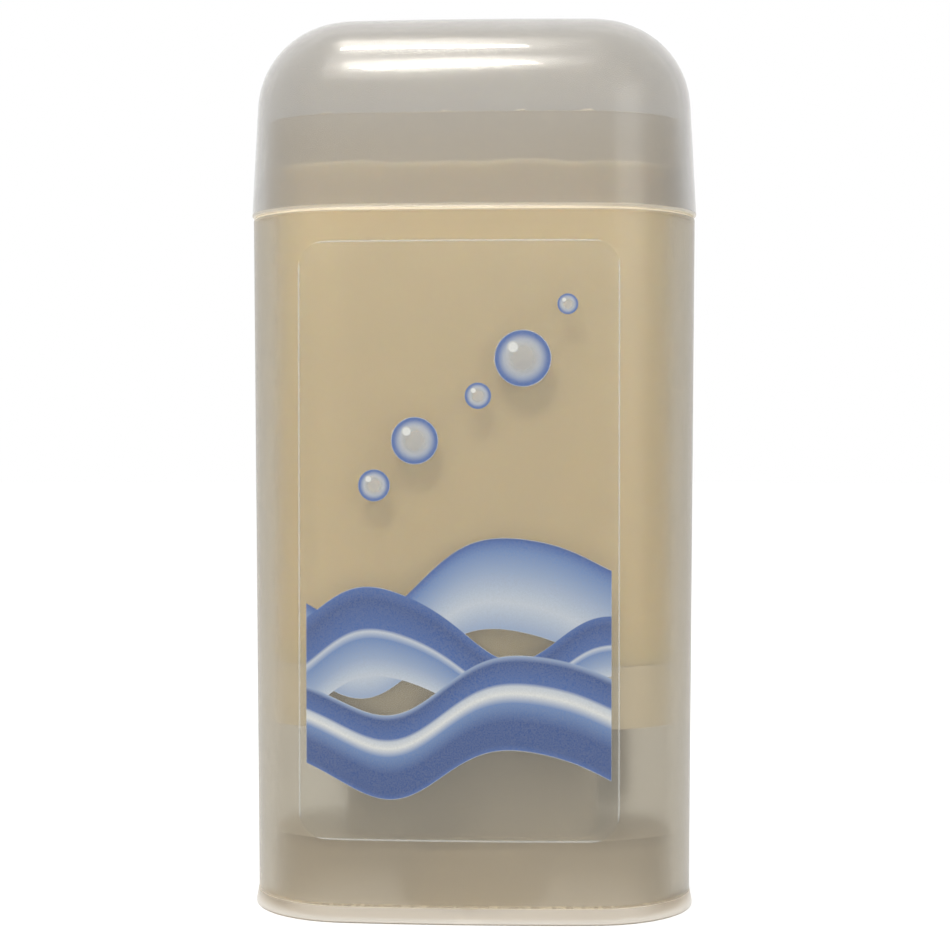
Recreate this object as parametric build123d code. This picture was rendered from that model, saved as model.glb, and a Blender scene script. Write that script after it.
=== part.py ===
from build123d import *
from math import atan2, cos, radians, sin, tan
import os

# Twist-up deodorant stick, millimetres, +Z up.
# The origin is the centre of the foot's underside. The front label faces -Y.

# --- overall form -------------------------------------------------------------------
OVERALL_HEIGHT = 99.1
BODY_WIDTH = 49.7          # barrel, at the shoulder
BODY_DEPTH = 25.0          # barrel, at the shoulder
FACE_RADIUS = 200.0        # the shallow curve of the front and back faces
BODY_DRAFT = 0.42          # degrees a side, narrower towards the foot

# --- barrel -------------------------------------------------------------------------
NECK_HEIGHT = 10.7
BODY_WALL = 2.35           # from the barrel's outside to the bore, at the shoulder
SHOULDER_ROUND = 0.35
RIM_ROUND = 0.2

# --- cap ----------------------------------------------------------------------------
CAP_RISE = 22.0            # from the shoulder to the top of the cap
CAP_PROUD = 0.2            # how far the cap's mouth stands out past the shoulder
CAP_WALL = 1.05
CAP_DRAFT = 3.1            # degrees a side, narrower towards the top
CAP_CROWN_RADIUS = 10.0
CAP_CROWN_FLAT = 1.0       # the least flat left along the top, each side of the middle
CAP_NECK_CLEARANCE = 0.2
CAP_SEAT_GAP = 0.1
CAP_LIP_ROUND = 0.25

# --- base ---------------------------------------------------------------------------
FLANGE_HEIGHT = 1.8
FLANGE_PROUD = 0.3         # at its lip, past the foot of the barrel
FLANGE_STEP = 0.06         # at its top, past the foot of the barrel
FLANGE_LIP = 0.5           # height of the upright lip under the flare
FLANGE_ROUND = 0.3
PLUG_WALL = 1.2
PLUG_CLEARANCE = 0.05
FLOOR_TOP_Z = 8.9
FLOOR_THICKNESS = 1.2
HOUSING_WIDTH = 27.8
HOUSING_FACE_GAP = 2.45    # between the housing and the bore, front and back
HOUSING_HEIGHT = 12.0
HOUSING_WALL = 1.1
HOUSING_CORNER = 4.0
BEARING_WALL = 1.1
WEB_THICKNESS = 1.0

# --- dial and feed screw --------------------------------------------------------------
DIAL_FOOT_GAP = 0.8        # between the dial's underside and the surface the stick stands on
DIAL_FLOOR_GAP = 0.3       # between the wheel and the floor above it
DIAL_SIDE_GAP = 0.6        # between the wheel and the plug skirt, front and back
DIAL_DISH_DEPTH = 3.2
DIAL_RIM = 1.8
GRIP_BAR_WIDTH = 2.6
GRIP_BAR_SETBACK = 0.4
FLUTE_COUNT = 18
FLUTE_RADIUS = 0.7
STEM_RADIUS = 4.5
STEM_TOP_GAP = 0.2
RUNNING_CLEARANCE = 0.1    # radial, each shaft in its hole
SCREW_RADIUS = 3.3         # over the thread's crests
SCREW_LEAD = 4.0           # left-hand thread, rise of the carrier for each turn of the dial
LEAST_ENGAGEMENT = 3.1     # thread still in the hub when the stick is wound right up
COLLAR_RADIUS = 4.7
COLLAR_HEIGHT = 1.2
COLLAR_GAP = 0.3
FOOT_SIDE = 4.0            # the screw's square foot, pressed into the dial's stem
FOOT_LENGTH = 6.5
SCREW_TIP_GAP = 3.1        # between the screw's tip and the top of the stick
TIP_CHAMFER = 0.8

# --- carrier ------------------------------------------------------------------------
CARRIER_CLEARANCE = 0.15
CARRIER_HEIGHT = 6.8
CARRIER_PLATE = 1.2
CARRIER_WALL = 1.0
HUB_WALL = 2.5
CROSS_WEB_X = 13.5

# --- stick --------------------------------------------------------------------------
STICK_SETBACK = 5.2        # the top of the stick, below the neck's rim
STICK_CLEARANCE = 0.15
STICK_TOP_ROUND = 0.8
STICK_BORE_GAP = 0.3
STICK_BORE_TIP_GAP = 0.6

# --- labels -------------------------------------------------------------------------
LABEL_THICKNESS = 0.1
LABEL_WIDTH = 34.8
LABEL_FOOT_MARGIN = 7.2    # from the flange to the label
LABEL_TOP_MARGIN = 3.5     # from the label to the shoulder
LABEL_CORNER = 3.0
LABEL_SHIFT = 1.1          # the label sits this far to the left of the middle of its face

# --- worked out from the values above ----------------------------------------------------
SHOULDER_Z = OVERALL_HEIGHT - CAP_RISE
NECK_RIM_Z = SHOULDER_Z + NECK_HEIGHT
CAP_MOUTH_Z = SHOULDER_Z + CAP_SEAT_GAP
FLOOR_UNDER_Z = FLOOR_TOP_Z - FLOOR_THICKNESS
HOUSING_TOP_Z = FLOOR_TOP_Z + HOUSING_HEIGHT
CARRIER_TOP_Z = HOUSING_TOP_Z + CARRIER_HEIGHT
WHEEL_TOP_Z = FLOOR_UNDER_Z - DIAL_FLOOR_GAP
STEM_TOP_Z = HOUSING_TOP_Z - HOUSING_WALL - STEM_TOP_GAP
STICK_TOP_Z = NECK_RIM_Z - STICK_SETBACK
SCREW_TIP_Z = STICK_TOP_Z - SCREW_TIP_GAP
COLLAR_ROOM_TOP_Z = HOUSING_TOP_Z + COLLAR_HEIGHT + COLLAR_GAP
LIFT_TRAVEL = SCREW_TIP_Z - COLLAR_ROOM_TOP_Z - LEAST_ENGAGEMENT
LABEL_BOTTOM_Z = FLANGE_HEIGHT + LABEL_FOOT_MARGIN
LABEL_TOP_Z = SHOULDER_Z - LABEL_TOP_MARGIN
CUT = 1.0                  # how far a cutting tool runs past the face that it cuts through


# --- the oval section and what is made from it -------------------------------------------
def inset(oval, amount):
    """The oval that lies a constant distance inside another; a negative amount is outside."""
    width, depth, face_radius = oval
    return (width - 2 * amount, depth - 2 * amount, face_radius - amount)


def drafted(oval, height, draft):
    """The oval after a wall with this draft has closed in over this height."""
    return inset(oval, height * tan(radians(draft)))


def oval_wire(oval, z):
    """Two shallow face arcs joined by two end arcs, all tangent, at height z."""
    width, depth, face_radius = oval
    end_radius = (face_radius * depth - depth**2 / 4 - width**2 / 4) / (2 * face_radius - width)
    centre_drop = face_radius - depth / 2
    turn = atan2(width / 2 - end_radius, centre_drop)
    x = face_radius * sin(turn)
    y = face_radius * cos(turn) - centre_drop
    return Wire(
        [
            ThreePointArc((-x, y, z), (0, depth / 2, z), (x, y, z)),
            ThreePointArc((x, y, z), (width / 2, 0, z), (x, -y, z)),
            ThreePointArc((x, -y, z), (0, -depth / 2, z), (-x, -y, z)),
            ThreePointArc((-x, -y, z), (-width / 2, 0, z), (-x, y, z)),
        ]
    )


def oval_prism(oval, bottom, top):
    """A straight-walled oval block."""
    return extrude(Face(oval_wire(oval, bottom)), amount=top - bottom, dir=(0, 0, 1))


def oval_taper(low_oval, low_z, high_oval, high_z):
    """An oval block whose wall runs straight from one oval up to another."""
    return Solid.make_loft([oval_wire(low_oval, low_z), oval_wire(high_oval, high_z)], ruled=True)


def round_bar(radius, bottom, top):
    """A vertical round bar on the middle axis."""
    return Pos(0, 0, bottom) * Cylinder(radius, top - bottom, align=(Align.CENTER, Align.CENTER, Align.MIN))


def block(width, depth, bottom, top, x=0.0):
    """An upright rectangular block, centred in depth."""
    return Pos(x, 0, bottom) * Box(width, depth, top - bottom, align=(Align.CENTER, Align.CENTER, Align.MIN))


def rounded_block(width, depth, corner, bottom, top):
    """An upright block whose four vertical edges are round."""
    outline = RectangleRounded(width, depth, corner)
    return extrude(Pos(0, 0, bottom) * outline, amount=top - bottom)


def edges_at(shape, z):
    """The edges that lie flat at one height."""
    return shape.edges().filter_by_position(Axis.Z, z - 1e-4, z + 1e-4)


# --- the ovals that the pieces share -----------------------------------------------------
SHOULDER_OVAL = (BODY_WIDTH, BODY_DEPTH, FACE_RADIUS)
BODY_FOOT_OVAL = drafted(SHOULDER_OVAL, SHOULDER_Z - FLANGE_HEIGHT, BODY_DRAFT)
BORE_OVAL = inset(SHOULDER_OVAL, BODY_WALL)
CAP_MOUTH_OVAL = inset(SHOULDER_OVAL, -CAP_PROUD)
CAP_CAVITY_OVAL = inset(CAP_MOUTH_OVAL, CAP_WALL)
NECK_ROOT_OVAL = inset(CAP_CAVITY_OVAL, CAP_NECK_CLEARANCE)
PLUG_OVAL = inset(BORE_OVAL, PLUG_CLEARANCE)
RECESS_OVAL = inset(PLUG_OVAL, PLUG_WALL)
HOUSING_DEPTH = BORE_OVAL[1] - 2 * HOUSING_FACE_GAP


def make_cap():
    """The overcap: a drafted shell with a large round all along its top edge."""
    top_oval = drafted(CAP_MOUTH_OVAL, OVERALL_HEIGHT - CAP_MOUTH_Z, CAP_DRAFT)
    crown_radius = min(CAP_CROWN_RADIUS, top_oval[1] / 2 - CAP_CROWN_FLAT)
    outside = oval_taper(CAP_MOUTH_OVAL, CAP_MOUTH_Z, top_oval, OVERALL_HEIGHT)
    outside = fillet(edges_at(outside, OVERALL_HEIGHT), crown_radius)
    cavity_top = OVERALL_HEIGHT - CAP_WALL
    cavity = oval_taper(
        CAP_CAVITY_OVAL,
        CAP_MOUTH_Z,
        drafted(CAP_CAVITY_OVAL, cavity_top - CAP_MOUTH_Z, CAP_DRAFT),
        cavity_top,
    )
    cavity = fillet(edges_at(cavity, cavity_top), crown_radius - CAP_WALL)
    cap = outside - cavity
    return fillet(edges_at(cap, CAP_MOUTH_Z), CAP_LIP_ROUND)


def make_barrel():
    """The body with its straight bore and the drafted neck that the cap slips over."""
    body = oval_taper(BODY_FOOT_OVAL, FLANGE_HEIGHT, SHOULDER_OVAL, SHOULDER_Z)
    body = fillet(edges_at(body, SHOULDER_Z), SHOULDER_ROUND)
    neck_rim_oval = drafted(NECK_ROOT_OVAL, NECK_HEIGHT, CAP_DRAFT)
    neck = oval_taper(NECK_ROOT_OVAL, SHOULDER_Z, neck_rim_oval, NECK_RIM_Z)
    bore = oval_prism(BORE_OVAL, FLANGE_HEIGHT - CUT, NECK_RIM_Z + CUT)
    barrel = body + neck - bore
    return fillet(edges_at(barrel, NECK_RIM_Z), RIM_ROUND)


def make_base():
    """Flared foot flange, plug skirt and floor, with the raised housing that carries the bearing."""
    lip_oval = inset(BODY_FOOT_OVAL, -FLANGE_PROUD)
    flare = oval_taper(lip_oval, FLANGE_LIP, inset(BODY_FOOT_OVAL, -FLANGE_STEP), FLANGE_HEIGHT)
    flange = oval_prism(lip_oval, 0, FLANGE_LIP) + flare
    flange = fillet(edges_at(flange, 0), FLANGE_ROUND)
    plug = oval_prism(PLUG_OVAL, FLANGE_HEIGHT, FLOOR_TOP_Z)
    recess = oval_prism(RECESS_OVAL, -CUT, FLOOR_UNDER_Z)
    housing = rounded_block(HOUSING_WIDTH, HOUSING_DEPTH, HOUSING_CORNER, FLOOR_UNDER_Z, HOUSING_TOP_Z)
    hollow = rounded_block(
        HOUSING_WIDTH - 2 * HOUSING_WALL,
        HOUSING_DEPTH - 2 * HOUSING_WALL,
        HOUSING_CORNER - HOUSING_WALL,
        FLOOR_UNDER_Z - CUT,
        HOUSING_TOP_Z - HOUSING_WALL,
    )
    bearing_radius = STEM_RADIUS + RUNNING_CLEARANCE
    bearing = round_bar(bearing_radius + BEARING_WALL, FLOOR_UNDER_Z, HOUSING_TOP_Z)
    web = block(HOUSING_WIDTH - HOUSING_WALL, WEB_THICKNESS, FLOOR_UNDER_Z, HOUSING_TOP_Z)
    stem_hole = round_bar(bearing_radius, FLOOR_UNDER_Z - CUT, HOUSING_TOP_Z - HOUSING_WALL)
    screw_hole = round_bar(SCREW_RADIUS + RUNNING_CLEARANCE, FLOOR_UNDER_Z, HOUSING_TOP_Z + CUT)
    shell = flange + plug - recess + housing - hollow
    return shell + bearing + web - stem_hole - screw_hole


def make_dial():
    """The fluted twist wheel, dished below around a grip bar, and its hollow stem."""
    wheel_radius = RECESS_OVAL[1] / 2 - DIAL_SIDE_GAP
    dish_top = DIAL_FOOT_GAP + DIAL_DISH_DEPTH
    wheel = round_bar(wheel_radius, DIAL_FOOT_GAP, WHEEL_TOP_Z)
    flute = round_bar(FLUTE_RADIUS, DIAL_FOOT_GAP - CUT, WHEEL_TOP_Z + CUT)
    for index in range(FLUTE_COUNT):
        wheel -= Rot(0, 0, 360 * index / FLUTE_COUNT) * Pos(wheel_radius, 0, 0) * flute
    dish_radius = wheel_radius - DIAL_RIM
    wheel -= round_bar(dish_radius, DIAL_FOOT_GAP - CUT, dish_top)
    wheel += block(2 * dish_radius + DIAL_RIM, GRIP_BAR_WIDTH, DIAL_FOOT_GAP + GRIP_BAR_SETBACK, dish_top)
    stem = round_bar(STEM_RADIUS, WHEEL_TOP_Z, STEM_TOP_Z)
    socket = block(FOOT_SIDE, FOOT_SIDE, STEM_TOP_Z - FOOT_LENGTH, STEM_TOP_Z + CUT)
    return wheel + stem - socket


def make_feed_screw():
    """The spindle: square foot, journal, thrust collar and the length that carries the thread."""
    foot = block(FOOT_SIDE, FOOT_SIDE, STEM_TOP_Z - FOOT_LENGTH, STEM_TOP_Z)
    journal = round_bar(SCREW_RADIUS, STEM_TOP_Z, HOUSING_TOP_Z)
    collar = round_bar(COLLAR_RADIUS, HOUSING_TOP_Z, HOUSING_TOP_Z + COLLAR_HEIGHT)
    shaft = round_bar(SCREW_RADIUS, HOUSING_TOP_Z + COLLAR_HEIGHT, SCREW_TIP_Z)
    shaft = chamfer(edges_at(shaft, SCREW_TIP_Z), TIP_CHAMFER)
    return foot + journal + collar + shaft


def make_carrier():
    """The lifting platform: plate, skirt, hub for the screw and stiffening webs."""
    oval = inset(BORE_OVAL, CARRIER_CLEARANCE)
    carrier = oval_prism(oval, HOUSING_TOP_Z, CARRIER_TOP_Z)
    plate_under = CARRIER_TOP_Z - CARRIER_PLATE
    carrier -= oval_prism(inset(oval, CARRIER_WALL), HOUSING_TOP_Z - CUT, plate_under)
    hub_bore = SCREW_RADIUS + RUNNING_CLEARANCE
    hub = round_bar(hub_bore + HUB_WALL, HOUSING_TOP_Z, plate_under)
    webs = block(oval[0] - CARRIER_WALL, WEB_THICKNESS, HOUSING_TOP_Z + COLLAR_HEIGHT, plate_under)
    for x in (-CROSS_WEB_X, CROSS_WEB_X):
        webs += block(WEB_THICKNESS, oval[1] - CARRIER_WALL, HOUSING_TOP_Z + COLLAR_HEIGHT, plate_under, x)
    webs = webs & oval_prism(inset(oval, CARRIER_WALL / 2), HOUSING_TOP_Z, plate_under)
    carrier = carrier + hub + webs
    carrier -= round_bar(hub_bore, HOUSING_TOP_Z - CUT, CARRIER_TOP_Z + CUT)
    return carrier - round_bar(COLLAR_RADIUS + COLLAR_GAP, HOUSING_TOP_Z - CUT, COLLAR_ROOM_TOP_Z)


def make_stick():
    """The cast stick, standing on the carrier, with the bore that the screw leaves in it."""
    stick = oval_prism(inset(BORE_OVAL, STICK_CLEARANCE), CARRIER_TOP_Z, STICK_TOP_Z)
    stick = fillet(edges_at(stick, STICK_TOP_Z), STICK_TOP_ROUND)
    bore_radius = SCREW_RADIUS + STICK_BORE_GAP
    return stick - round_bar(bore_radius, CARRIER_TOP_Z - CUT, SCREW_TIP_Z + STICK_BORE_TIP_GAP)


def make_label(side):
    """A film label that follows the barrel's face; side is -1 for the front, 1 for the back."""
    film = oval_taper(
        inset(BODY_FOOT_OVAL, -LABEL_THICKNESS),
        FLANGE_HEIGHT,
        inset(SHOULDER_OVAL, -LABEL_THICKNESS),
        SHOULDER_Z,
    )
    film -= oval_taper(BODY_FOOT_OVAL, FLANGE_HEIGHT, SHOULDER_OVAL, SHOULDER_Z)
    outline = RectangleRounded(LABEL_WIDTH, LABEL_TOP_Z - LABEL_BOTTOM_Z, LABEL_CORNER)
    middle = Pos(side * LABEL_SHIFT, 0, (LABEL_TOP_Z + LABEL_BOTTOM_Z) / 2)
    stamp = extrude(middle * Rot(90, 0, 0) * outline, amount=BODY_DEPTH, dir=(0, side, 0))
    return film & stamp


def main():
    """Write each piece to its own file."""
    os.makedirs("parts", exist_ok=True)
    pieces = {
        "cap": make_cap(),
        "barrel": make_barrel(),
        "base": make_base(),
        "dial": make_dial(),
        "feed_screw": make_feed_screw(),
        "carrier": make_carrier(),
        "deodorant_stick": make_stick(),
        "front_label": make_label(-1),
        "back_label": make_label(1),
    }
    for name, shape in pieces.items():
        export_step(shape, f"parts/{name}.step")
        print(f"{name}: {shape.volume:.1f} mm3")
    print(f"the stick lifts {LIFT_TRAVEL:.2f} mm in {LIFT_TRAVEL / SCREW_LEAD:.2f} turns of the dial")


main()
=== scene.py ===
"""Looks of an oval twist-up deodorant stick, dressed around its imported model.

Sizes are in millimetres. They become metres only where a mesh, lamp or camera is written.
Every horizontal section of the pack is an offset of one four-arc oval, so most pieces are a
profile of (inset, height) pairs carried round that oval.
"""

import logging
from dataclasses import dataclass, field
from enum import Enum

import bmesh
import bpy
import numpy as np
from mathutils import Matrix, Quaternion, Vector


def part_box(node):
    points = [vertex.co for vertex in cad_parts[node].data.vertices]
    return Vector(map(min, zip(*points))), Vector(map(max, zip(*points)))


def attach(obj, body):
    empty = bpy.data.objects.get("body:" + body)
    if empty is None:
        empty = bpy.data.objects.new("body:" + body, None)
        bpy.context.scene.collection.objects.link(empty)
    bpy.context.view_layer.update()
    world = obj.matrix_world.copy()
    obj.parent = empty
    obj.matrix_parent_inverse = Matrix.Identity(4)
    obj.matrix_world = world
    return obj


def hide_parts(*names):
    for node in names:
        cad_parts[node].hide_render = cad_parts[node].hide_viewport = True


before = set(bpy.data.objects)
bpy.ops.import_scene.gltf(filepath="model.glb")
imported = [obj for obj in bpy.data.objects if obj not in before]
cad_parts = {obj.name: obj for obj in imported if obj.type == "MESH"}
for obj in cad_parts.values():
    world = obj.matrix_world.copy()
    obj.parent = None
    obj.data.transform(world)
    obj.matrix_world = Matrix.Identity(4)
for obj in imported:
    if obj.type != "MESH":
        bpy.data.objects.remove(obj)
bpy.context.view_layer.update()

MM = 0.001
LOG = logging.getLogger("deodorant_stick")
Array = np.ndarray
Colour = tuple[float, float, float]


def srgb(red: int, green: int, blue: int) -> Colour:
    """Linear colour of an 8-bit display colour.

    Args:
        red: red, 0 to 255.
        green: green, 0 to 255.
        blue: blue, 0 to 255.

    Returns:
        The three linear values, by the display curve's two-part formula.
    """
    shown = np.array([red, green, blue]) / 255.0
    linear = np.where(shown <= 0.04045, shown / 12.92, ((shown + 0.055) / 1.055) ** 2.4)
    return tuple(float(value) for value in linear)


@dataclass(frozen=True)
class Extent:
    """A node's box at rest, in millimetres."""

    low: Array
    high: Array

    @classmethod
    def of(cls, node: str) -> "Extent":
        """The box of one CAD node.

        Args:
            node: the node's name.

        Returns:
            Its extent.
        """
        low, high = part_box(node)
        return cls(np.array(low) / MM, np.array(high) / MM)

    @property
    def size(self) -> Array:
        """Width, depth and height."""
        return self.high - self.low

    @property
    def middle(self) -> Array:
        """The centre of the box."""
        return (self.high + self.low) / 2


# ------------------------------------------------------------------ shapes


@dataclass(frozen=True)
class Oval:
    """Two shallow face arcs joined by two end arcs, all tangent.

    Attributes:
        width: across the ends.
        depth: across the faces.
        face_radius: of the two face arcs.
    """

    width: float
    depth: float
    face_radius: float

    @property
    def end_radius(self) -> float:
        """Radius of the end arcs, from the condition that they are tangent to the face arcs."""
        w, d, r = self.width, self.depth, self.face_radius
        return (r * d - d**2 / 4 - w**2 / 4) / (2 * r - w)

    @property
    def end_x(self) -> float:
        """How far the centre of an end arc lies from the middle."""
        return self.width / 2 - self.end_radius

    @property
    def centre_drop(self) -> float:
        """How far the centre of a face arc lies behind the middle."""
        return self.face_radius - self.depth / 2

    def inset(self, amount: float) -> "Oval":
        """The oval a constant distance further in."""
        return Oval(self.width - 2 * amount, self.depth - 2 * amount, self.face_radius - amount)

    def ring(self, face_steps: int = 24, end_steps: int = 48) -> "Ring":
        """Samples the oval anticlockwise, with matching points on the front and back.

        Args:
            face_steps: spans along each face arc.
            end_steps: spans along each end arc.

        Returns:
            The ring of arc centres, radii and outward normals.
        """
        turn = np.arctan2(self.end_x, self.centre_drop)
        quarter = np.pi / 2
        end = np.linspace(turn - quarter, quarter - turn, end_steps + 1)
        face = np.linspace(quarter - turn, quarter + turn, face_steps + 1)[1:-1]
        angle = np.concatenate([end, face, end + np.pi, face + np.pi])
        on_end = np.concatenate([end * 0 + 1, face * 0, end * 0 - 1, face * 0])
        side = np.concatenate([end * 0, face * 0 - 1, end * 0, face * 0 + 1])
        centre = np.stack([on_end * self.end_x, side * self.centre_drop], axis=1)
        radius = np.where(on_end != 0, self.end_radius, self.face_radius)
        return Ring(centre, radius, np.stack([np.cos(angle), np.sin(angle)], axis=1))

    def face_y(self, x: Array, inset: Array) -> Array:
        """Depth of the front of the oval at a given x, as a positive distance from the middle.

        Args:
            x: distance across.
            inset: how far inside the oval the surface lies.

        Returns:
            The face arc's height there, or the end arc's past the tangent point.
        """
        tangent = self.face_radius * np.sin(np.arctan2(self.end_x, self.centre_drop))
        face = np.sqrt(np.maximum((self.face_radius - inset) ** 2 - x**2, 0)) - self.centre_drop
        end = np.sqrt(np.maximum((self.end_radius - inset) ** 2 - (np.abs(x) - self.end_x) ** 2, 0))
        return np.where(np.abs(x) <= tangent, face, end)


@dataclass(frozen=True)
class Ring:
    """An oval sampled as points: point = arc centre + (arc radius - inset) * normal."""

    centre: Array
    radius: Array
    normal: Array

    def at(self, inset: Array) -> Array:
        """Points of the offset ovals, collapsed on to the middle line where they meet it.

        Args:
            inset: one distance for each row.

        Returns:
            An array of rows, points and the two coordinates x and y.
        """
        reach = np.maximum(self.radius[None] - inset[:, None], 0)
        points = self.centre[None] + reach[..., None] * self.normal[None]
        side = np.sign(np.round(self.normal[None, :, 1], 9))
        points[..., 1] = side * np.maximum(side * points[..., 1], 0)
        return points

    def circle(self, radius: Array) -> Array:
        """Points of circles, each in the direction of the ring's own point.

        Args:
            radius: one radius for each row.

        Returns:
            An array of rows, points and the two coordinates x and y.
        """
        outline = self.centre + self.radius[:, None] * self.normal
        direction = outline / np.linalg.norm(outline, axis=1, keepdims=True)
        return radius[:, None, None] * direction[None]

    def sweep(self, profile: Array) -> Array:
        """Carries a profile round the ring.

        Args:
            profile: rows of inset and height.

        Returns:
            An array of rows, points and x, y, z.
        """
        flat = self.at(profile[:, 0])
        height = np.broadcast_to(profile[:, 1][:, None, None], (*flat.shape[:2], 1))
        return np.concatenate([flat, height], axis=2)


def rounded_path(
    corners: list[tuple[float, float]], radii: list[float], closed: bool = False
) -> Array:
    """A polyline whose corners are arcs, with a guard point beside each arc to keep flats flat.

    Each arc touches both of its sides at radius * tan(half the turn) from the corner.

    Args:
        corners: the corners in order.
        radii: one radius for each corner; 0 keeps the corner sharp.
        closed: whether the last corner joins the first.

    Returns:
        The points of the path.
    """
    points = np.array(corners, float)
    count = len(points)
    pieces = []
    for index, radius in enumerate(radii):
        here = points[index]
        if radius <= 0 or (not closed and index in (0, count - 1)):
            pieces.append(here[None])
            continue
        back = points[index - 1] - here
        ahead = points[(index + 1) % count] - here
        back, ahead = back / np.linalg.norm(back), ahead / np.linalg.norm(ahead)
        half_turn = (np.pi - np.arccos(np.clip(back @ ahead, -1, 1))) / 2
        tangent = radius * np.tan(half_turn)
        steps = int(np.clip(round(6 + radius * 2.2), 6, 26))
        sweep = np.linspace(-half_turn, half_turn, steps + 1)
        middle = (back + ahead) / np.linalg.norm(back + ahead)
        across = (ahead - back) / np.linalg.norm(ahead - back)
        centre = here + middle * radius / np.cos(half_turn)
        arc = centre + radius * (np.sin(sweep)[:, None] * across - np.cos(sweep)[:, None] * middle)
        guard = min(0.35, 0.4 * radius)
        pieces += [(arc[0] + back * guard)[None], arc, (arc[-1] + ahead * guard)[None]]
    return np.concatenate(pieces)


def grid_faces(
    rows: int, columns: int, close_rows: bool = False, close_columns: bool = True
) -> Array:
    """Quads of a grid of points.

    Args:
        rows: how many rows there are.
        columns: how many points a row has.
        close_rows: whether the last row joins the first.
        close_columns: whether each row is a loop.

    Returns:
        An array of quads, as indices into the grid read row by row.
    """
    row = np.arange(rows if close_rows else rows - 1)[:, None]
    column = np.arange(columns if close_columns else columns - 1)[None]
    next_row, next_column = (row + 1) % rows, (column + 1) % columns
    quads = [row * columns + column, row * columns + next_column]
    quads += [next_row * columns + next_column, next_row * columns + column]
    return np.stack([corner + 0 * row * column for corner in quads], axis=-1).reshape(-1, 4)


def add_piece(
    name: str, points: Array, quads: Array, sharp_degrees: float = 35.0
) -> bpy.types.Object:
    """Makes a closed, outward-facing, smooth object in the shared frame.

    Args:
        name: the piece's name.
        points: its vertices in millimetres.
        quads: its faces.
        sharp_degrees: edges that turn by more than this stay crisp.

    Returns:
        The new object, at the origin.
    """
    mesh = bpy.data.meshes.new(name)
    mesh.from_pydata((points.reshape(-1, 3) * MM).tolist(), [], quads.tolist())
    work = bmesh.new()
    work.from_mesh(mesh)
    bmesh.ops.remove_doubles(work, verts=work.verts, dist=1e-4 * MM)
    bmesh.ops.dissolve_degenerate(work, edges=work.edges, dist=1e-4 * MM)
    bmesh.ops.recalc_face_normals(work, faces=work.faces)
    work.to_mesh(mesh)
    work.free()
    mesh.shade_smooth()
    mesh.set_sharp_from_angle(angle=np.radians(sharp_degrees))
    mesh.validate()
    piece = bpy.data.objects.new(name, mesh)
    bpy.context.scene.collection.objects.link(piece)
    return piece


# --------------------------------------------------------------- materials


@dataclass(frozen=True)
class Signal:
    """One output of a node, with arithmetic that adds math nodes."""

    graph: "Graph"
    socket: bpy.types.NodeSocket

    def __add__(self, other: "Signal | float") -> "Signal":
        """Sum."""
        return self.graph.math("ADD", self, other)

    def __sub__(self, other: "Signal | float") -> "Signal":
        """Difference."""
        return self.graph.math("SUBTRACT", self, other)

    def __mul__(self, other: "Signal | float") -> "Signal":
        """Product."""
        return self.graph.math("MULTIPLY", self, other)

    def __truediv__(self, other: "Signal | float") -> "Signal":
        """Quotient."""
        return self.graph.math("DIVIDE", self, other)

    def sine(self) -> "Signal":
        """Sine of an angle in radians."""
        return self.graph.math("SINE", self)

    def size(self) -> "Signal":
        """Absolute value."""
        return self.graph.math("ABSOLUTE", self)

    def larger(self, other: "Signal | float") -> "Signal":
        """The larger of two values."""
        return self.graph.math("MAXIMUM", self, other)

    def ease(self, start: float, end: float) -> "Signal":
        """A smooth step that is 0 at start and 1 at end.

        Args:
            start: value where the step begins.
            end: value where it is complete; it may be below start.

        Returns:
            The eased value, 0 to 1.
        """
        node = self.graph.add("ShaderNodeMapRange", interpolation_type="SMOOTHSTEP")
        self.graph.feed(node.inputs["Value"], self)
        low, high = min(start, end), max(start, end)
        node.inputs["From Min"].default_value = low
        node.inputs["From Max"].default_value = high
        node.inputs["To Min"].default_value = 0.0 if start < end else 1.0
        node.inputs["To Max"].default_value = 1.0 if start < end else 0.0
        return Signal(self.graph, node.outputs["Result"])


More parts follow.
